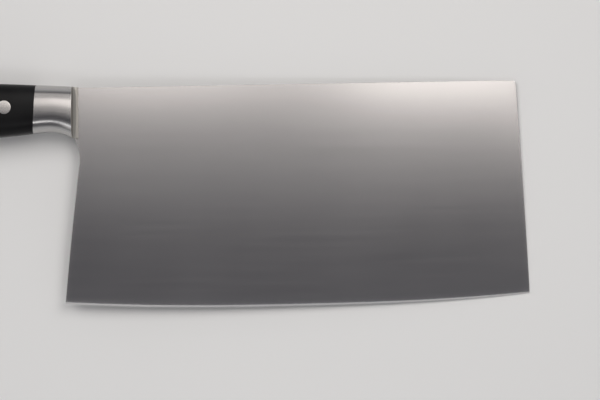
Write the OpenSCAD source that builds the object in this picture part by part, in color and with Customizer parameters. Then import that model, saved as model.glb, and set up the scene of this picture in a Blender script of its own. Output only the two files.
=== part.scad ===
// Meat cleaver with a full tang, two bolster halves, two riveted handle scales
// and three two-part cutlery rivets. All sizes are in millimetres and degrees.
//
// The knife is drawn in its own flat frame: X runs along the spine towards the tip, Y
// points from the cutting edge to the spine, Z comes out of the right face, and the
// spine meets the bolster at the origin. rest() then lays it on its left side.

/* [Blade] */
// Length of the spine, from the bolster to the front corner
blade_len = 220; // [180:1:260]
// Height of the blade, from the spine to the lowest point of the edge
blade_h = 110; // [85:1:125]
// Thickness of the spine at the bolster
spine_t = 2.6; // [1.8:0.1:4.5]
// Thickness of the spine at the front corner
front_t = 2.1; // [1.6:0.1:4]
// Thickness just above the edge bevel
edge_t = 0.4; // [0.2:0.05:1]
// Angle of the edge bevel on each side
bevel_angle = 15; // [10:1:25]
// Lean of the front edge away from the handle
front_lean = 2.9; // [0:0.1:8]
// Lean of the heel towards the handle
heel_lean = 6.85; // [0:0.05:10]
// Radius of the curve of the cutting edge
edge_r = 2150; // [900:10:6000]
// Distance from the bolster to the lowest point of the cutting edge
edge_low_x = 104; // [80:1:140]
// Radius of the front spine corner
front_corner_r = 1; // [0.5:0.5:6]
// Radius of the finger notch between the bolster and the heel
choil_r = 18.85; // [14:0.05:24]

/* [Handle] */
// Length of the bolster
bolster_len = 18.4; // [17:0.1:24]
// Length of the handle scales
scale_len = 104; // [95:1:110]
// Rise of the handle towards its butt
handle_rise = 4.3; // [0:0.1:8]
// Height of the handle where the scales meet the bolster
grip_h = 24; // [22:0.5:27]
// Half of the handle's greatest thickness
grip_half_t = 9.6; // [8.5:0.1:12]
// Half of the bolster's thickness at its front
bolster_half_t = 8.7; // [7.5:0.1:11]
// Thickness of the tang
tang_t = 2.6; // [1.8:0.1:4]
// Radius of the hollow where the bolster runs out onto the blade
bolster_fillet_r = 3; // [1:0.5:5]
// Radius of the rounded butt corners
butt_r = 6; // [3:0.5:9]

/* [Rivets] */
// Radius of a rivet head
rivet_head_r = 3.4; // [2.5:0.1:4.5]
// Depth of a rivet head
rivet_head_t = 1.6; // [1:0.1:2.5]
// Radius of the socket half's tube
rivet_tube_r = 2.4; // [1.8:0.1:2.8]
// Radius of the pin half's shank
rivet_pin_r = 1.4; // [1:0.1:1.6]
// Distance of the front rivet behind the bolster
front_rivet_s = 14.4; // [12:0.1:20]
// Distance of the middle rivet behind the bolster
middle_rivet_s = 50; // [40:1:60]
// Distance of the rear rivet behind the bolster
rear_rivet_s = 85; // [75:1:90]

/* [Hidden] */

steel = [0.74, 0.73, 0.72];
polished_steel = [0.85, 0.84, 0.83];
black_composite = [0.04, 0.04, 0.045];

// The handle has an axis of its own, which starts where the scales meet the bolster. s is
// the distance behind that point, so the bolster has negative s. Each line below is a list
// of [s, distance from the axis], joined by a smooth curve.
half_h = grip_h / 2;
front_s = -bolster_len - bolster_fillet_r;
butt_drop = 3.4;
top_line = [[front_s, half_h], [-bolster_len, half_h + 0.3], [0, half_h],
            [17, half_h - 0.4], [40, half_h - 1.2], [65, half_h - 2.4], [88, half_h - 3.2],
            [scale_len, half_h - butt_drop]];
bottom_line = [[front_s, -half_h - 1.6], [-bolster_len, -half_h - 0.9],
               [-16.5, -half_h - 0.1], [-13, 1 - half_h], [-8.5, 1.35 - half_h],
               [-4, 0.8 - half_h], [0, -half_h],
               [17, -half_h - 2.8], [34, -half_h - 3.9], [54, -half_h - 2.9],
               [72, -half_h - 2.2], [90, -half_h - 4.2], [scale_len, -half_h - 6.6]];
side_line = [[-bolster_len, bolster_half_t], [0, grip_half_t - 0.5], [35, grip_half_t],
             [70, grip_half_t - 0.4], [scale_len, grip_half_t - 0.7]];

// Where the handle's axis starts, in the knife's frame
axis_depth = 10.35;
axis_start = [-bolster_len, -axis_depth];

// The tang's full thickness runs on a little way in front of the bolster's hollow
ricasso_margin = 0.5;
ricasso_len = bolster_fillet_r + ricasso_margin;
tang_margin = 1;

// Slope of the bolster's front, which leans with the blade and not with the handle
bolster_front_lean = 1;
bolster_lean = -tan(handle_rise - bolster_front_lean);

// The hollow's toe lies this thick on the blade, and its other end meets the bolster's
// front over this short a step
toe_t = 0.05;
front_step = 0.1;

// Roundness of the handle's cross-section: 2 is an ellipse, more is squarer
squareness = 2.7;
section_steps = 20;
scale_steps = 26;
bolster_steps = 8;
fillet_steps = 6;
butt_steps = 5;

// Wedge of the blade's two flats: along the spine, and from the spine to the edge
taper_angle = atan((spine_t - front_t) / 2 / blade_len);
grind_angle = atan((spine_t - edge_t) / 2 / blade_h);

// The finger notch starts below the bolster's front and ends where it runs into the heel
choil_steps = 10;
choil_top = [0.6, -25];
choil_centre = [-15.7, -34.5];
choil_end_angle = asin((choil_top[1] - choil_centre[1]) / choil_r);
heel_start = choil_centre + choil_r * [cos(heel_lean), -sin(heel_lean)];

// At rest the left face of the blade's front end and the left bolster touch the ground
rest_tilt = atan((bolster_half_t - front_t / 2) / blade_len);
rest_roll = atan((front_t - edge_t) / 2 / blade_h);
rest_lift = bolster_half_t * cos(rest_tilt) - axis_start[1] * sin(rest_roll);
butt_top_y = scale_len * sin(handle_rise) + half_h - butt_drop - axis_depth;
rest_centre = [(blade_len + blade_h * tan(front_lean) - bolster_len - scale_len) / 2,
               (butt_top_y - blade_h) / 2];

// The pin half's shank fills this share of the socket half's bore
pin_share = 0.9;
// The rounded butt takes this share of its loss off the sides
side_share = 0.5;
// How far the blade's outline runs past the cutting edge, and how far two cuts overlap
edge_margin = 5;
overlap = 0.5;

big = 1000;
true_circle = 96;
edge_circle = 720;

// Segment of a [position, value] list that holds s, the slope there, and the curve
function segment(line, s, i = 0) =
    (i >= len(line) - 2 || s <= line[i + 1][0]) ? i : segment(line, s, i + 1);
function slope(line, i) =
    let (a = line[max(i - 1, 0)], b = line[min(i + 1, len(line) - 1)]) (b[1] - a[1]) / (b[0] - a[0]);
function curve(line, s) =
    let (i = segment(line, s), a = line[i], b = line[i + 1], h = b[0] - a[0], q = (s - a[0]) / h)
    (2 * q^3 - 3 * q^2 + 1) * a[1] + (q^3 - 2 * q^2 + q) * h * slope(line, i)
    + (3 * q^2 - 2 * q^3) * b[1] + (q^3 - q^2) * h * slope(line, i + 1);

// How much the rounded butt takes off each side at s
function butt_loss(s) =
    let (q = max(0, (s - scale_len + butt_r) / butt_r)) butt_r * (1 - sqrt(max(0, 1 - q * q)));
function top_at(s) = curve(top_line, s) - butt_loss(s);
function bottom_at(s) = curve(bottom_line, s) + butt_loss(s);
function side_at(s) = curve(side_line, s) - side_share * butt_loss(s);

// One half of the handle's cross-section, from its top round the right side to its bottom.
// A station is [s, height of the side above the knife's middle, lean].
function bent(x) = sign(x) * pow(abs(x), 2 / squareness);
function section(station) =
    let (s = station[0], top = top_at(s), bottom = bottom_at(s), inner = tang_t / 2)
    [for (i = [0:section_steps])
        let (a = 180 * i / section_steps, y = (top + bottom) / 2 + (top - bottom) / 2 * bent(cos(a)))
        [-s + station[2] * y, y, inner + (station[1] - inner) * bent(sin(a))]];

// Places along the scales, closer together round the butt
scale_places = concat([for (i = [0:scale_steps - 1]) i * (scale_len - butt_r) / scale_steps],
                      [for (i = [0:butt_steps]) scale_len - butt_r * (1 - sin(90 * i / butt_steps))]);
bolster_places = [for (i = [0:bolster_steps]) bolster_len * (i / bolster_steps - 1)];

// Stations of a scale, and of a bolster half with the hollow that runs it out onto the blade
scale_stations = [for (s = scale_places) [s, side_at(s), 0]];
bolster_stations = concat(
    [for (i = [0:fillet_steps])
        let (a = 90 * i / fillet_steps)
        [-bolster_len - bolster_fillet_r * (1 - sin(a)) - front_step,
         tang_t / 2 + toe_t + bolster_fillet_r * (1 - cos(a)), bolster_lean]],
    [for (s = bolster_places) [s, side_at(s), -bolster_lean * s / bolster_len]]);

// Lays the knife down on its left side, with its middle above the origin
module rest() {
    translate([-rest_centre[0], -rest_centre[1], rest_lift])
        rotate([rest_roll, rest_tilt, 0])
            children();
}

// Places something that is drawn along the handle's own axis
module along_handle() {
    translate([axis_start[0], axis_start[1], 0])
        rotate([0, 0, -handle_rise])
            children();
}

// Skin over a row of cross-sections, closed at both ends
module loft(stations) {
    n = section_steps + 1;
    last = (len(stations) - 1) * n;
    polyhedron(
        points = [for (station = stations) each section(station)],
        faces = concat(
            [[for (k = [0:n - 1]) k]],
            [[for (k = [0:n - 1]) last + n - 1 - k]],
            [for (i = [0:len(stations) - 2], k = [0:n - 1], half = [0, 1])
                let (a = i * n + k, b = i * n + (k + 1) % n)
                half == 0 ? [a, a + n, b] : [b, a + n, b + n]]),
        convexity = 4);
}

// Side outline of the handle, from the bolster's front to the butt
module handle_outline() {
    places = concat([front_s - tang_margin], bolster_places,
                    [for (i = [1:len(scale_places) - 1]) scale_places[i]]);
    polygon(concat([for (s = places) [-s, top_at(s)]],
                   [for (i = [1:len(places)]) let (s = places[len(places) - i]) [-s, bottom_at(s)]]));
}

// Side outline of the blade in front of the bolster. It runs past the cutting edge, which
// the edge bevel then cuts to its curve.
module blade_outline() {
    below = blade_h + edge_margin;
    drop = below + heel_start[1];
    front_corner = [blade_len - front_corner_r, -front_corner_r];
    union() {
        polygon(concat(
            [[0, 0], [front_corner[0], 0], [front_corner[0], front_corner[1]],
             [blade_len + front_corner_r * tan(front_lean), front_corner[1]],
             [blade_len + below * tan(front_lean), -below],
             [heel_start[0] - drop * tan(heel_lean), -below]],
            [for (i = [0:choil_steps])
                let (a = -heel_lean + (choil_end_angle + heel_lean) * i / choil_steps)
                choil_centre + choil_r * [cos(a), sin(a)]],
            [[0, choil_top[1]]]));
        translate(front_corner)
            circle(r = front_corner_r, $fn = true_circle);
    }
}

// Everything on the inner side of the right flat
module behind_right_flat() {
    translate([0, 0, spine_t / 2])
        rotate([grind_angle, taper_angle, 0])
            translate([-big / 2, -big / 2, -big])
                cube(big);
}

// A disc whose bevelled rim is the cutting edge
module edge_disc() {
    reach = spine_t / tan(bevel_angle);
    translate([edge_low_x, edge_r - blade_h, 0])
        rotate_extrude($fn = edge_circle)
            polygon([[0, -spine_t], [edge_r - reach, -spine_t], [edge_r, 0],
                     [edge_r - reach, spine_t], [0, spine_t]]);
}

module blade() {
    color(steel)
        difference() {
            union() {
                intersection() {
                    linear_extrude(2 * spine_t, center = true)
                        blade_outline();
                    behind_right_flat();
                    mirror([0, 0, 1])
                        behind_right_flat();
                    edge_disc();
                }
                intersection() {
                    along_handle()
                        linear_extrude(tang_t, center = true)
                            handle_outline();
                    translate([ricasso_len - big, -big / 2, -big / 2])
                        cube(big);
                }
            }
            rivet_holes();
        }
}

// Holes for the three rivets, with room for their heads
module rivet_holes() {
    along_handle()
        for (s = [front_rivet_s, middle_rivet_s, rear_rivet_s], side = [0, 1])
            mirror([0, 0, side])
                translate([-s, 0, 0]) {
                    translate([0, 0, -overlap])
                        cylinder(r = rivet_tube_r, h = 2 * grip_half_t, $fn = true_circle);
                    translate([0, 0, head_floor(s)])
                        cylinder(r = rivet_head_r, h = grip_half_t, $fn = true_circle);
                }
}

// Height of the flat under a rivet head, above the knife's middle
function head_floor(s) = side_at(s) - rivet_head_t;

module bolster() {
    color(polished_steel)
        along_handle()
            loft(bolster_stations);
}

module scale() {
    color(black_composite)
        difference() {
            along_handle()
                loft(scale_stations);
            rivet_holes();
        }
}

// The half of a rivet with a tube: its head shows on the right side
module rivet_socket(s) {
    color(polished_steel)
        along_handle()
            translate([-s, 0, 0])
                difference() {
                    union() {
                        translate([0, 0, head_floor(s)])
                            cylinder(r = rivet_head_r, h = rivet_head_t, $fn = true_circle);
                        translate([0, 0, -rivet_meet(s)])
                            cylinder(r = rivet_tube_r, h = side_at(s) + rivet_meet(s) - rivet_head_t / 2,
                                     $fn = true_circle);
                    }
                    translate([0, 0, -rivet_meet(s)])
                        cylinder(r = rivet_pin_r, h = 2 * rivet_meet(s), $fn = true_circle);
                }
}

// The half with a pin, pressed into the tube: its head shows on the left side
module rivet_pin(s) {
    color(polished_steel)
        along_handle()
            translate([-s, 0, 0]) {
                translate([0, 0, -side_at(s)])
                    cylinder(r = rivet_head_r, h = rivet_head_t, $fn = true_circle);
                translate([0, 0, rivet_head_t / 2 - side_at(s)])
                    cylinder(r = rivet_tube_r, h = side_at(s) - rivet_meet(s) - rivet_head_t / 2,
                             $fn = true_circle);
                translate([0, 0, rivet_head_t - side_at(s)])
                    cylinder(r = rivet_pin_r, h = side_at(s) + pin_share * rivet_meet(s) - rivet_head_t,
                             $fn = true_circle);
            }
}

// Height of the plane where the two rivet halves meet, below the knife's middle
function rivet_meet(s) = side_at(s) / 2;

module left_side() {
    mirror([0, 0, 1])
        children();
}

rest() blade();
rest() bolster();  // right_bolster
rest() left_side() bolster();  // left_bolster
rest() scale();  // right_scale
rest() left_side() scale();  // left_scale
rest() rivet_socket(front_rivet_s);  // front_rivet_socket
rest() rivet_pin(front_rivet_s);  // front_rivet_pin
rest() rivet_socket(middle_rivet_s);  // middle_rivet_socket
rest() rivet_pin(middle_rivet_s);  // middle_rivet_pin
rest() rivet_socket(rear_rivet_s);  // rear_rivet_socket
rest() rivet_pin(rear_rivet_s);  // rear_rivet_pin
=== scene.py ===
import math

import bmesh
import bpy
from mathutils import Matrix, Vector


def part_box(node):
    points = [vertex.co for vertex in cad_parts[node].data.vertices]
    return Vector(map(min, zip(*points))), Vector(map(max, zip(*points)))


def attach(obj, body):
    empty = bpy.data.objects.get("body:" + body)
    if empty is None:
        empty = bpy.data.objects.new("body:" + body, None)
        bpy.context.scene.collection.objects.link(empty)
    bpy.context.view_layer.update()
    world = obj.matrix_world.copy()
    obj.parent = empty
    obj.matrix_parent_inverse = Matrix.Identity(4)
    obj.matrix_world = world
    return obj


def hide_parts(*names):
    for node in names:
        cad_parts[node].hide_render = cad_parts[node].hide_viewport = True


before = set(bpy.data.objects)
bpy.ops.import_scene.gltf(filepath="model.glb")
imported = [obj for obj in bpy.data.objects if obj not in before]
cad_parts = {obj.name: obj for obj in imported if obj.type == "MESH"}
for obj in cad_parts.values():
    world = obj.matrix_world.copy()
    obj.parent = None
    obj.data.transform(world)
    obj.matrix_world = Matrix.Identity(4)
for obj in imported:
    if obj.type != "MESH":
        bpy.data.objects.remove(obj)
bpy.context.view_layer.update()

# ---------------------------------------------------------------- sizes, in millimetres
# The knife's own frame: X along the spine towards the tip, Y from the cutting edge to the
# spine, Z out of the right face, and the spine meets the bolster at the origin.
BLADE_LEN = 220.0
BLADE_H = 110.0
SPINE_T = 2.6
FRONT_T = 2.1
EDGE_T = 0.4
BEVEL_H = 0.8
FRONT_LEAN = math.radians(2.9)
HEEL_LEAN = math.radians(6.85)
CHOIL_R = 18.85
CHOIL_CENTRE = (-15.7, -34.5)
CHOIL_TOP = (0.6, -25.0)

# Small departures of the blade's outline from straight lines
SPINE_RISE, SPINE_RISE_LEN = 0.35, 12
SPINE_EASE, SPINE_EASE_LEN = 0.35, 9
FRONT_BOW, FRONT_BOW_H = 0.2, 105
HEEL_BOW, HEEL_BOW_H = 0.3, 70
FRONT_CORNER_Y, FRONT_CORNER_R = -0.5, 0.8
TOE_EASE, TOE_EASE_Y, TOE_EASE_H = 0.16, -99, 7

# The cutting edge rises from its lowest point to each corner along a power curve
EDGE_LOW_X, EDGE_REACH, EDGE_INSET = 101, 115, 0.04
HEEL_RISE, HEEL_POWER = 4.0, 2.4
TOE_RISE, TOE_POWER = 3.0, 2.8

# The right face is convex and the left one is flat, and both roll off into the bevel
RIGHT_CONVEXITY, LEFT_CONVEXITY = 1.6, 1.0
ROLL_OFF, ROLL_OFF_H = 0.09, 1.3
FRONT_THINNING, FRONT_THINNING_LEN = 0.04, 5
BORDER_EASE, BORDER_EASE_SHARE = 0.12, 0.8

BOLSTER_LEN = 18.4
SCALE_LEN = 104.0
HANDLE_RISE = math.radians(4.3)
HALF_H = 12.0
GRIP_HALF_T = 9.6
BOLSTER_HALF_T = GRIP_HALF_T - 0.9
TANG_T = 2.6
FILLET_R = 3.0
BOLSTER_EDGE_R = 0.2
BUTT_R = 6.0
BUTT_DROP = 3.4
# How far the pieces stay inside the CAD's surface, at the butt and at the handle's top and sides
BUTT_GAP = 0.06
HAIR = 0.005
AXIS_START = (-BOLSTER_LEN, -10.35)
BOLSTER_LEAN = -math.tan(HANDLE_RISE - math.radians(1))
SQUARENESS = 2.7
SECTION_STEPS = 72

RIVET_HEAD_R = 3.4
RIVET_HEAD_T = 1.6
RIVET_TUBE_R = 2.4
RIVET_PIN_R = 1.4
RIVETS = {"front": 14.4, "middle": 50.0, "rear": 85.0}

# (radius, rise over the scale's face) across the slightly domed head of a rivet
RIVET_DOME = [(0, 0.05), (1.2, 0.048), (2.2, 0.042), (2.9, 0.03), (3.2, 0.015), (3.32, -0.01),
              (RIVET_HEAD_R, -0.09)]

FRONT_S = -BOLSTER_LEN - FILLET_R
TOP_LINE = [(FRONT_S, HALF_H), (-BOLSTER_LEN, HALF_H + 0.3), (0, HALF_H), (17, HALF_H - 0.4),
            (40, HALF_H - 1.2), (65, HALF_H - 2.4), (88, HALF_H - 3.2), (SCALE_LEN, HALF_H - BUTT_DROP)]
BOTTOM_LINE = [(FRONT_S, -HALF_H - 1.6), (-BOLSTER_LEN, -HALF_H - 0.9), (-16.5, -HALF_H - 0.1),
               (-13, 1 - HALF_H), (-8.5, 1.35 - HALF_H), (-4, 0.8 - HALF_H), (0, -HALF_H),
               (17, -HALF_H - 2.8), (34, -HALF_H - 3.9), (54, -HALF_H - 2.9),
               (72, -HALF_H - 2.2), (90, -HALF_H - 4.2), (SCALE_LEN, -HALF_H - 6.6)]
SIDE_LINE = [(-BOLSTER_LEN, BOLSTER_HALF_T), (0, GRIP_HALF_T - 0.5), (35, GRIP_HALF_T),
             (70, GRIP_HALF_T - 0.4), (SCALE_LEN, GRIP_HALF_T - 0.7)]

# The pose at rest: the left face of the blade's front end and the left bolster touch the floor
REST_TILT = math.atan((BOLSTER_HALF_T - FRONT_T / 2) / BLADE_LEN)
REST_ROLL = math.atan((FRONT_T - EDGE_T) / 2 / BLADE_H)
REST_LIFT = BOLSTER_HALF_T * math.cos(REST_TILT) - AXIS_START[1] * math.sin(REST_ROLL)
BUTT_TOP_Y = AXIS_START[1] + SCALE_LEN * math.sin(HANDLE_RISE) + HALF_H - BUTT_DROP
REST_CENTRE = ((BLADE_LEN + BLADE_H * math.tan(FRONT_LEAN) - BOLSTER_LEN - SCALE_LEN) / 2,
               (BUTT_TOP_Y - BLADE_H) / 2)

KNIFE = (Matrix.Scale(0.001, 4)
         @ Matrix.Translation((-REST_CENTRE[0], -REST_CENTRE[1], REST_LIFT))
         @ Matrix.Rotation(REST_TILT, 4, "Y")
         @ Matrix.Rotation(REST_ROLL, 4, "X"))
HANDLE = KNIFE @ Matrix.Translation((*AXIS_START, 0)) @ Matrix.Rotation(-HANDLE_RISE, 4, "Z")
LEFT_SIDE = Matrix.Scale(-1, 4, (0, 0, 1))


# ---------------------------------------------------------------- curves of the handle
def curve(line, s):
    """Value at s of the smooth curve through the (position, value) points of line."""
    def slope(k):
        a, b = line[max(k - 1, 0)], line[min(k + 1, len(line) - 1)]
        return (b[1] - a[1]) / (b[0] - a[0])
    i = 0
    while i < len(line) - 2 and s > line[i + 1][0]:
        i += 1
    a, b = line[i], line[i + 1]
    h = b[0] - a[0]
    q = (s - a[0]) / h
    return ((2 * q**3 - 3 * q**2 + 1) * a[1] + (q**3 - 2 * q**2 + q) * h * slope(i)
            + (3 * q**2 - 2 * q**3) * b[1] + (q**3 - q**2) * h * slope(i + 1))


def butt_loss(s):
    """What the rounded butt takes off the handle's top and bottom at s."""
    q = max(0.0, (s - SCALE_LEN + BUTT_R) / BUTT_R)
    return BUTT_R * (1 - math.sqrt(max(0.0, 1 - q * q)))


def top_at(s):
    return curve(TOP_LINE, s) - butt_loss(s) - HAIR


def bottom_at(s):
    return curve(BOTTOM_LINE, s) + butt_loss(s)


def side_at(s):
    return curve(SIDE_LINE, s) - 0.5 * butt_loss(s) - HAIR


def bent(x):
    """Turns a sine or cosine of a circle into that of the handle's squarish section."""
    return math.copysign(abs(x) ** (2 / SQUARENESS), x)


def section(s, side, lean):
    """Half of the handle's cross-section, from its top round the right side to its bottom."""
    top, bottom, inner = top_at(s), bottom_at(s), TANG_T / 2
    points = []
    for i in range(SECTION_STEPS + 1):
        a = math.pi * i / SECTION_STEPS
        y = (top + bottom) / 2 + (top - bottom) / 2 * bent(math.cos(a))
        z = inner + (side - inner) * bent(max(0.0, math.sin(a)))
        points.append(Vector((-s + lean * y, y, z)))
    return points


def places_to_butt(start, count, butt_count):
    """Places along the handle from start to the butt, where they follow the rounding."""
    straight = SCALE_LEN - start - BUTT_R
    places = [start + k * straight / count for k in range(count + 1)]
    for k in range(1, butt_count + 1):
        places.append(SCALE_LEN - BUTT_GAP - BUTT_R * (1 - math.sin(math.pi / 2 * k / butt_count)))
    return places


# ---------------------------------------------------------------- outline of the blade
def heel_start():
    """The place where the choil's arc meets the straight heel."""
    return (CHOIL_CENTRE[0] + CHOIL_R * math.cos(HEEL_LEAN),
            CHOIL_CENTRE[1] - CHOIL_R * math.sin(HEEL_LEAN))


def spine_y(x):
    """The spine is straight, with a slight rise at the bolster and an eased front corner."""
    rise = SPINE_RISE * max(0.0, 1 - max(0.0, x) / SPINE_RISE_LEN) ** 2
    ease = SPINE_EASE * max(0.0, (x - BLADE_LEN + SPINE_EASE_LEN) / SPINE_EASE_LEN) ** 2
    return rise - ease


def edge_y(x):
    """The cutting edge is nearly flat in the middle and curves up to both corners."""
    rise, power = (HEEL_RISE, HEEL_POWER) if x < EDGE_LOW_X else (TOE_RISE, TOE_POWER)
    return EDGE_INSET - BLADE_H + rise * (abs(x - EDGE_LOW_X) / EDGE_REACH) ** power


def front_x(y):
    """The front end leans and bows slightly, with a rounded upper corner and an eased toe."""
    depth = min(max(0.0, FRONT_CORNER_Y - y), FRONT_BOW_H)
    bow = FRONT_BOW * math.sin(math.pi * depth / FRONT_BOW_H)
    q = min(1.0, depth / FRONT_CORNER_R)
    corner = FRONT_CORNER_R * (1 - math.sqrt(max(0.0, 1 - (1 - q) ** 2)))
    toe = TOE_EASE * max(0.0, (TOE_EASE_Y - y) / TOE_EASE_H) ** 2
    return BLADE_LEN - y * math.tan(FRONT_LEAN) + bow - corner - toe


def rear_x(y):
    """The rear end: under the bolster, round the choil and down the leaning heel."""
    x0, y0 = heel_start()
    if y > CHOIL_TOP[1]:
        return CHOIL_TOP[0]
    if y > y0:
        return CHOIL_CENTRE[0] + math.sqrt(CHOIL_R**2 - (y - CHOIL_CENTRE[1]) ** 2)
    drop = y0 - y
    bow = HEEL_BOW * math.sin(math.pi * min(1.0, drop / HEEL_BOW_H))
    return x0 - drop * math.tan(HEEL_LEAN) - bow


def blade_point(p, q):
    """The place at share p of the way to the front, and share q of the way to the edge."""
    x, y = BLADE_LEN * p, -BLADE_H * q
    for _ in range(6):
        x = rear_x(y) + (front_x(y) - rear_x(y)) * p
        y = spine_y(x) + (edge_y(x) - spine_y(x)) * q
    return x, y


def half_thickness(x, y, side):
    """Height of one face of the blade: a grind, a bevel, and eased corners all round."""
    convexity = RIGHT_CONVEXITY if side > 0 else LEFT_CONVEXITY
    above_edge = max(0.0, y - edge_y(x))
    half_edge = EDGE_T / 2
    half_spine = (SPINE_T - (SPINE_T - FRONT_T) * x / BLADE_LEN) / 2
    if above_edge < BEVEL_H:
        return (half_edge - ROLL_OFF) * above_edge / BEVEL_H
    share = min(1.0, (above_edge - BEVEL_H) / (BLADE_H - BEVEL_H))
    half = half_edge + (half_spine - half_edge) * (1 - (1 - share) ** convexity)
    half -= ROLL_OFF * math.exp((BEVEL_H - above_edge) / ROLL_OFF_H)
    to_front = max(0.0, front_x(y) - x)
    half *= 1 - FRONT_THINNING * math.exp(-to_front / FRONT_THINNING_LEN)
    to_border = min(to_front, max(0.0, spine_y(x) - y), max(0.0, x - rear_x(y)))
    if to_border < BORDER_EASE:
        rounding = BORDER_EASE - math.sqrt(BORDER_EASE**2 - (BORDER_EASE - to_border) ** 2)
        half -= min(half * BORDER_EASE_SHARE, rounding)
    # The left face goes no lower than the floor
    to_floor = REST_LIFT - x * math.sin(REST_TILT) + y * math.sin(REST_ROLL)
    return half if side > 0 else min(half, to_floor)


# ---------------------------------------------------------------- mesh tools
def new_piece(name, mesh, material, slot, *nodes):
    """An object that rides on the cleaver and stands for CAD nodes."""
    mesh.set_sharp_from_angle(angle=math.radians(35))
    piece = bpy.data.objects.new(name, mesh)
    bpy.context.scene.collection.objects.link(piece)
    mesh.materials.append(material)
    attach(piece, "root")
    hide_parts(*nodes)
    return piece


def finish_mesh(bm, name, place):
    """A mesh from bm, moved by place, with smooth faces that all point outwards."""
    bmesh.ops.remove_doubles(bm, verts=bm.verts, dist=1e-5)
    bmesh.ops.dissolve_degenerate(bm, edges=bm.edges, dist=1e-6)
    bmesh.ops.transform(bm, matrix=place, verts=bm.verts)
    bmesh.ops.recalc_face_normals(bm, faces=bm.faces)
    for f in bm.faces:
        f.smooth = True
    mesh = bpy.data.meshes.new(name)
    bm.to_mesh(mesh)
    bm.free()
    return mesh


def add_loft(bm, sections):
    """A closed skin over a row of cross-sections with the same number of points."""
    rows = [[bm.verts.new(p) for p in points] for points in sections]
    n = len(rows[0])
    for a, b in zip(rows, rows[1:]):
        for k in range(n):
            bm.faces.new((a[k], a[(k + 1) % n], b[(k + 1) % n], b[k]))
    bm.faces.new(rows[0])
    bm.faces.new(rows[-1][::-1])
    return rows


def add_lathe(bm, profile):
    """A solid of revolution round Z from (radius, height) points that start and end on Z."""
    steps = 64
    rings = []
    for r, z in profile[1:-1]:
        rings.append([bm.verts.new((r * math.cos(a), r * math.sin(a), z))
                      for a in (2 * math.pi * k / steps for k in range(steps))])
    ends = [bm.verts.new((0, 0, profile[0][1])), bm.verts.new((0, 0, profile[-1][1]))]
    for a, b in zip(rings, rings[1:]):
        for k in range(steps):
            bm.faces.new((a[k], a[(k + 1) % steps], b[(k + 1) % steps], b[k]))
    for end, ring in zip(ends, (rings[0], rings[-1])):
        for k in range(steps):
            bm.faces.new((end, ring[k], ring[(k + 1) % steps]))


def spread(length, near, step, far):
    """Shares of a length: fine places near its start, even steps, and fine places near its end."""
    last = near[-1]
    room = length - last - far[-1]
    count = round(room / step)
    middle = [last + room * k / count for k in range(1, count)]
    return [v / length for v in near + middle + [length - v for v in reversed(far)]]


# ---------------------------------------------------------------- pieces
def blade_plate():
    """The blade as a closed mesh with two faces, and with its wear and grinding as attributes."""
    # Distances from the outline at which the mesh has its fine rows
    border = [0, 0.012, 0.035, 0.07, 0.12, 0.16, 0.5, 1.4, 2.5, 4]
    bevel = [0, 0.4, BEVEL_H - 0.02, BEVEL_H + 0.05, 1.1, 1.5, 2, 2.7, 3.6, 5]
    across = spread(BLADE_LEN, border, 2.5, border)
    down = spread(BLADE_H, border, 2.0, bevel)
    bm = bmesh.new()
    wear = bm.verts.layers.float.new("wear")
    ground = bm.verts.layers.float.new("ground")
    wear_reach = 0.6
    faces = {}
    for side in (1, -1):
        rows = []
        for q in down:
            row = []
            for p in across:
                x, y = blade_point(p, q)
                v = bm.verts.new((x, y, side * half_thickness(x, y, side)))
                border_gap = min(front_x(y) - x, spine_y(x) - y, x - rear_x(y))
                v[wear] = math.exp(-max(0.0, border_gap) / wear_reach)
                v[ground] = 1.0 if y - edge_y(x) < BEVEL_H else 0.0
                row.append(v)
            rows.append(row)
        for a, b in zip(rows, rows[1:]):
            for k in range(len(a) - 1):
                bm.faces.new((a[k], a[k + 1], b[k + 1], b[k]))
        faces[side] = rows
    right, left = faces[1], faces[-1]
    for k in range(len(across) - 1):
        bm.faces.new((right[0][k], right[0][k + 1], left[0][k + 1], left[0][k]))
    for k in (0, -1):
        for j in range(len(down) - 1):
            corners = (right[j][k], right[j + 1][k], left[j + 1][k], left[j][k])
            # In the cutting edge the two faces meet, and one place there counts once
            bm.faces.new([v for i, v in enumerate(corners) if v.co not in [c.co for c in corners[:i]]])
    return finish_mesh(bm, "blade_plate", KNIFE)


def tang():
    """The tang runs from inside the bolster to the butt, almost flush with the scales."""
    half = TANG_T / 2
    inset = 0.06
    start = FRONT_S + 2
    sections = []
    for s in places_to_butt(start, 90, 10):
        top, bottom = top_at(s) - inset, bottom_at(s) + inset
        sections.append([Vector((-s, top, half)), Vector((-s, top, -half)),
                         Vector((-s, bottom, -half)), Vector((-s, bottom, half))])
    bm = bmesh.new()
    add_loft(bm, sections)
    return finish_mesh(bm, "tang", HANDLE)


def build_blade(material):
    mesh = blade_plate()
    bm = bmesh.new()
    bm.from_mesh(mesh)
    bm.from_mesh(tang())
    bm.to_mesh(mesh)
    bm.free()
    return new_piece("blade_with_tang", mesh, material, "blade_steel", "blade")


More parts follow.
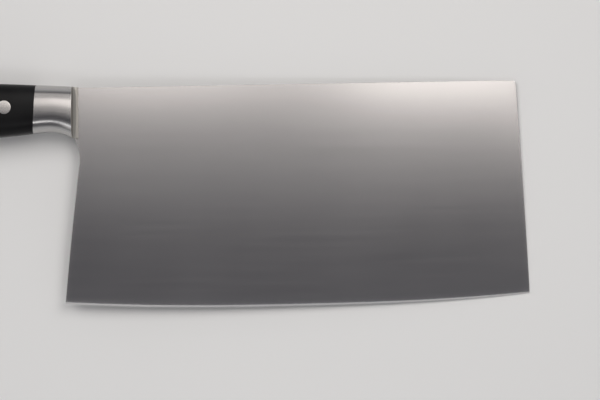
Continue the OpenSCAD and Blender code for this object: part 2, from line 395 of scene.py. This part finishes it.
def build_bolster(name, side, material):
    """Half of the bolster: a straight part, an eased front edge and a satin fillet, where the front
    edge and fillet also carry a darker colour that paints the shade at the step onto the blade.
    """
    straight_count, edge_count, fillet_count = 12, 5, 12
    # One more station just behind the front edge keeps the straight part's shading even
    last_gap = 0.006
    straight = BOLSTER_LEN - BOLSTER_EDGE_R
    stations = []
    for q in [k / straight_count for k in range(straight_count)] + [1 - last_gap, 1]:
        stations.append((-straight * q, side_at(-straight * q),
                         BOLSTER_LEAN * straight * q / BOLSTER_LEN))
    for k in range(1, edge_count + 1):
        a = math.pi / 2 * k / edge_count
        stations.append((-straight - BOLSTER_EDGE_R * math.sin(a),
                         BOLSTER_HALF_T - BOLSTER_EDGE_R * (1 - math.cos(a)), BOLSTER_LEAN))
    foot = TANG_T / 2 + 0.02
    fillet_start = -BOLSTER_LEN - 0.01
    for k in range(fillet_count + 1):
        a = math.pi / 2 * k / fillet_count
        stations.append((fillet_start - FILLET_R * (1 - math.cos(a)),
                         foot + FILLET_R * (1 - math.sin(a)), BOLSTER_LEAN))
    bm = bmesh.new()
    satin_and_shade = bm.verts.layers.float.new("satin_and_shade")
    rows = add_loft(bm, [section(s, height, lean) for s, height, lean in stations])
    # The front edge and fillet are marked satin, and the same mark gives them a darker colour that is
    # painted shade at the step
    for row in rows[-edge_count - fillet_count:]:
        for v in row:
            v[satin_and_shade] = 1.0
    mesh = finish_mesh(bm, name, HANDLE @ side)
    return new_piece(name + "_half", mesh, material, "bolster_steel", name)


def build_scale(name, side, material):
    bm = bmesh.new()
    places = places_to_butt(0, 70, 12)
    add_loft(bm, [section(s, side_at(s), 0) for s in places])
    mesh = finish_mesh(bm, name, HANDLE @ side)
    return new_piece(name + "_grip", mesh, material, "handle", name)


def surface_at(s, y):
    """Height of the scale's right face over the middle plane."""
    top, bottom, inner = top_at(s), bottom_at(s), TANG_T / 2
    across = abs(2 * y - top - bottom) / (top - bottom)
    return inner + (side_at(s) - inner) * (1 - across**SQUARENESS) ** (1 / SQUARENESS)


def rivet_profile(s, is_socket):
    """(radius, height) points of a rivet half, from the middle of its head to its other end."""
    head = side_at(s)
    meet = head / 2
    pin_end = -0.9 * meet
    floor = head - RIVET_HEAD_T
    outside = [(r, head + rise) for r, rise in RIVET_DOME]
    outside += [(RIVET_HEAD_R, floor), (RIVET_TUBE_R, floor)]
    if is_socket:
        return outside + [(RIVET_TUBE_R, -meet), (RIVET_PIN_R, -meet), (RIVET_PIN_R, meet), (0, meet)]
    return outside + [(RIVET_TUBE_R, meet), (RIVET_PIN_R, meet), (RIVET_PIN_R, pin_end), (0, pin_end)]


def build_rivet(name, s, is_socket, material):
    """Half of a rivet, with its head ground to follow the scale."""
    bm = bmesh.new()
    add_lathe(bm, rivet_profile(s, is_socket))
    head = side_at(s)
    for v in bm.verts:
        if v.co.z > head - RIVET_HEAD_T / 2:
            v.co.z += surface_at(s - v.co.x, v.co.y) - head
    side = Matrix.Identity(4) if is_socket else LEFT_SIDE
    mesh = finish_mesh(bm, name, HANDLE @ Matrix.Translation((-s, 0, 0)) @ side)
    return new_piece(name + "_half", mesh, material, "rivet_steel", name)


# ---------------------------------------------------------------- materials
def new_material(name):
    m = bpy.data.materials.new(name)
    m.use_nodes = True
    nodes, links = m.node_tree.nodes, m.node_tree.links
    return m, nodes, links, nodes["Principled BSDF"]


def noise(nodes, links, scale, detail, stretch=(1, 1, 1), turn=0.0):
    """Noise in the object's own space, in metres, stretched along its axes."""
    where = nodes.new("ShaderNodeTexCoord")
    mapping = nodes.new("ShaderNodeMapping")
    mapping.inputs["Scale"].default_value = stretch
    mapping.inputs["Rotation"].default_value = (0, 0, turn)
    texture = nodes.new("ShaderNodeTexNoise")
    texture.inputs["Scale"].default_value = scale
    texture.inputs["Detail"].default_value = detail
    links.new(where.outputs["Object"], mapping.inputs["Vector"])
    links.new(mapping.outputs["Vector"], texture.inputs["Vector"])
    return texture.outputs["Fac"]


def ramp(nodes, links, source, low, high, start=0.3, end=0.7):
    """Maps source from start..end to low..high, as a number."""
    node = nodes.new("ShaderNodeMapRange")
    node.inputs["From Min"].default_value = start
    node.inputs["From Max"].default_value = end
    node.inputs["To Min"].default_value = low
    node.inputs["To Max"].default_value = high
    links.new(source, node.inputs["Value"])
    return node.outputs["Result"]


def tint(nodes, links, source, low, high):
    """Blends from colour low to colour high by source."""
    node = nodes.new("ShaderNodeMix")
    node.data_type = "RGBA"
    for socket, colour in (("A", low), ("B", high)):
        if isinstance(colour, tuple):
            node.inputs[socket].default_value = (*colour, 1)
        else:
            links.new(colour, node.inputs[socket])
    links.new(source, node.inputs["Factor"])
    return node.outputs["Result"]


def maths(nodes, links, operation, a, b):
    """The sum or product of two numbers or sockets."""
    node = nodes.new("ShaderNodeMath")
    node.operation = operation
    for socket, value in zip(node.inputs, (a, b)):
        if isinstance(value, (int, float)):
            socket.default_value = value
        else:
            links.new(value, socket)
    return node.outputs[0]


def bump(nodes, links, shader, height, distance):
    """Roughens the shader's surface by height, where 1 stands for distance in metres."""
    node = nodes.new("ShaderNodeBump")
    node.inputs["Distance"].default_value = distance
    node.inputs["Strength"].default_value = 1.0
    links.new(height, node.inputs["Height"])
    links.new(node.outputs["Normal"], shader.inputs["Normal"])


def attribute(nodes, name):
    node = nodes.new("ShaderNodeAttribute")
    node.attribute_name = name
    return node.outputs["Fac"]


def blade_steel():
    m, nodes, links, shader = new_material("satin_blade_steel")
    streaks = noise(nodes, links, 1.0, 2, (6, 420, 420))
    clouds = noise(nodes, links, 16, 3)
    wear = attribute(nodes, "wear")
    ground = attribute(nodes, "ground")
    shader.inputs["Metallic"].default_value = 1.0
    colour = ramp(nodes, links, streaks, 0.0, 1.0)
    links.new(tint(nodes, links, colour, (0.64, 0.625, 0.62), (0.65, 0.635, 0.63)),
              shader.inputs["Base Color"])
    rough = maths(nodes, links, "ADD", ramp(nodes, links, streaks, 0.204, 0.214),
                  ramp(nodes, links, clouds, -0.006, 0.006))
    rough = maths(nodes, links, "ADD", rough, maths(nodes, links, "MULTIPLY", wear, 0.05))
    rough = maths(nodes, links, "ADD", rough, maths(nodes, links, "MULTIPLY", ground, 0.15))
    links.new(rough, shader.inputs["Roughness"])
    bump(nodes, links, shader, streaks, 4e-7)
    return m


def bolster_steel():
    m, nodes, links, shader = new_material("polished_bolster_steel")
    scratches = noise(nodes, links, 1.0, 5, (900, 260, 900), 0.4)
    clouds = noise(nodes, links, 60, 2)
    satin_and_shade = attribute(nodes, "satin_and_shade")
    shader.inputs["Metallic"].default_value = 1.0
    polished = tint(nodes, links, ramp(nodes, links, clouds, 0.0, 1.0),
                    (0.47, 0.46, 0.455), (0.50, 0.49, 0.483))
    # Satin places are rougher and also darker in colour, which is painted shade at the bolster's front
    # step
    links.new(tint(nodes, links, satin_and_shade, polished, (0.36, 0.345, 0.32)), shader.inputs["Base Color"])
    rough = maths(nodes, links, "ADD", ramp(nodes, links, scratches, 0.2, 0.22, 0.35, 0.75),
                  ramp(nodes, links, clouds, -0.006, 0.006))
    rough = maths(nodes, links, "ADD", rough, maths(nodes, links, "MULTIPLY", satin_and_shade, 0.2))
    links.new(rough, shader.inputs["Roughness"])
    bump(nodes, links, shader, scratches, 1.5e-6)
    return m


def handle_black():
    m, nodes, links, shader = new_material("black_handle_composite")
    grain = noise(nodes, links, 1800, 4)
    clouds = noise(nodes, links, 70, 3)
    shader.inputs["Specular IOR Level"].default_value = 0.18
    colour = tint(nodes, links, ramp(nodes, links, clouds, 0.0, 1.0),
                  (0.0035, 0.0035, 0.004), (0.006, 0.006, 0.0065))
    links.new(colour, shader.inputs["Base Color"])
    rough = maths(nodes, links, "ADD", ramp(nodes, links, clouds, 0.30, 0.40),
                  ramp(nodes, links, grain, -0.03, 0.03))
    links.new(rough, shader.inputs["Roughness"])
    bump(nodes, links, shader, grain, 1.2e-5)
    return m


def rivet_steel():
    m, nodes, links, shader = new_material("brushed_rivet_steel")
    scratches = noise(nodes, links, 1.0, 3, (160, 1800, 1800), 0.2)
    clouds = noise(nodes, links, 300, 2)
    shader.inputs["Metallic"].default_value = 1.0
    colour = tint(nodes, links, ramp(nodes, links, clouds, 0.0, 1.0),
                  (0.52, 0.505, 0.495), (0.57, 0.555, 0.54))
    links.new(colour, shader.inputs["Base Color"])
    links.new(ramp(nodes, links, scratches, 0.26, 0.30), shader.inputs["Roughness"])
    bump(nodes, links, shader, scratches, 1e-6)
    return m


def floor_paint():
    m, nodes, links, shader = new_material("pale_floor")
    clouds = noise(nodes, links, 3, 4)
    links.new(tint(nodes, links, clouds, (0.79, 0.79, 0.785), (0.82, 0.82, 0.815)),
              shader.inputs["Base Color"])
    shader.inputs["Roughness"].default_value = 0.7
    shader.inputs["Specular IOR Level"].default_value = 0.2
    return m


# ---------------------------------------------------------------- studio
def build_floor():
    half = 6.0
    bm = bmesh.new()
    bmesh.ops.create_grid(bm, x_segments=8, y_segments=8, size=half)
    mesh = bpy.data.meshes.new("floor")
    bm.to_mesh(mesh)
    bm.free()
    floor = bpy.data.objects.new("floor", mesh)
    mesh.materials.append(floor_paint())
    bpy.context.scene.collection.objects.link(floor)


def softbox(name, place, size, radiance, colour):
    """A rectangular light that faces straight down, and that looks as bright as radiance."""
    data = bpy.data.lights.new(name, "AREA")
    data.shape = "RECTANGLE"
    data.size, data.size_y = size
    data.energy = radiance * math.pi * size[0] * size[1]
    data.color = colour
    light = bpy.data.objects.new(name, data)
    light.location = place
    bpy.context.scene.collection.objects.link(light)


def soft_sun(name, azimuth, strength, colour):
    """A broad, even light from high up in one direction, which lights the whole floor."""
    elevation = 50
    data = bpy.data.lights.new(name, "SUN")
    data.angle = math.radians(35)
    data.energy = strength
    data.color = colour
    light = bpy.data.objects.new(name, data)
    light.rotation_euler = (0, math.radians(90 - elevation), math.radians(azimuth))
    bpy.context.scene.collection.objects.link(light)


def build_world():
    """A still studio dome, pale at the horizon and darker overhead."""
    world = bpy.data.worlds.new("studio")
    bpy.context.scene.world = world
    world.use_nodes = True
    nodes, links = world.node_tree.nodes, world.node_tree.links
    where = nodes.new("ShaderNodeTexCoord")
    split = nodes.new("ShaderNodeSeparateXYZ")
    dome = nodes.new("ShaderNodeValToRGB")
    shades = [(0.0, (0.60, 0.60, 0.60)), (0.3, (0.60, 0.60, 0.605)), (0.62, (0.11, 0.11, 0.12)),
              (1.0, (0.06, 0.06, 0.07))]
    elements = dome.color_ramp.elements
    while len(elements) < len(shades):
        elements.new(0.5)
    for element, (position, colour) in zip(elements, shades):
        element.position = position
        element.color = (*colour, 1)
    links.new(where.outputs["Generated"], split.inputs["Vector"])
    links.new(split.outputs["Z"], dome.inputs["Fac"])
    links.new(dome.outputs["Color"], nodes["Background"].inputs["Color"])


def build_camera():
    """Looks straight down, turned a degree so that the spine rises to the right."""
    width = 0.2992
    distance = 1.0
    from_front, from_edge = 0.1136, 0.0524
    turn = math.radians(1.125)
    blade_low, blade_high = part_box("blade")
    data = bpy.data.cameras.new("camera")
    data.sensor_width = 36.0
    data.lens = data.sensor_width * distance / width
    camera = bpy.data.objects.new("camera", data)
    camera.location = (blade_high.x - from_front, blade_low.y + from_edge, distance)
    camera.rotation_euler = (0, 0, -turn)
    bpy.context.scene.collection.objects.link(camera)
    bpy.context.scene.camera = camera


def build_lights():
    warm, neutral, cool = (1.0, 0.95, 0.91), (1.0, 0.98, 0.96), (0.95, 0.97, 1.0)
    softbox("key", (0.2175, 0.15, 0.5), (0.165, 0.18), 2.1, warm)
    softbox("key_middle", (0.0925, 0.15, 0.5), (0.085, 0.18), 1.0, warm)
    softbox("key_left", (-0.015, 0.155, 0.5), (0.13, 0.17), 1.7, warm)
    softbox("key_far", (0.0, 0.40, 0.5), (0.5, 0.32), 0.5, warm)
    softbox("key_corner", (0.287, 0.045, 0.5), (0.05, 0.05), 0.8, warm)
    softbox("key_end", (-0.185, 0.155, 0.5), (0.21, 0.17), 0.8, warm)
    softbox("key_front", (0.105, 0.02, 0.5), (0.39, 0.08), 0.2, neutral)
    softbox("glint", (-0.055, -0.24, 0.49), (0.05, 0.05), 2.5, warm)
    softbox("fill", (0.02, -0.25, 0.5), (0.6, 0.08), 1.0, cool)
    soft_sun("rear_left", 135, 0.75, neutral)
    soft_sun("rear_right", 45, 0.6, neutral)
    soft_sun("front_left", 225, 0.2, neutral)
    soft_sun("front_right", 315, 0.2, neutral)


blade_material = blade_steel()
bolster_material = bolster_steel()
handle_material = handle_black()
rivet_material = rivet_steel()

build_blade(blade_material)
build_bolster("right_bolster", Matrix.Identity(4), bolster_material)
build_bolster("left_bolster", LEFT_SIDE, bolster_material)
build_scale("right_scale", Matrix.Identity(4), handle_material)
build_scale("left_scale", LEFT_SIDE, handle_material)
for place, s in RIVETS.items():
    build_rivet(place + "_rivet_socket", s, True, rivet_material)
    build_rivet(place + "_rivet_pin", s, False, rivet_material)

build_floor()
build_world()
build_lights()
build_camera()
bpy.context.scene.view_settings.view_transform = "Standard"
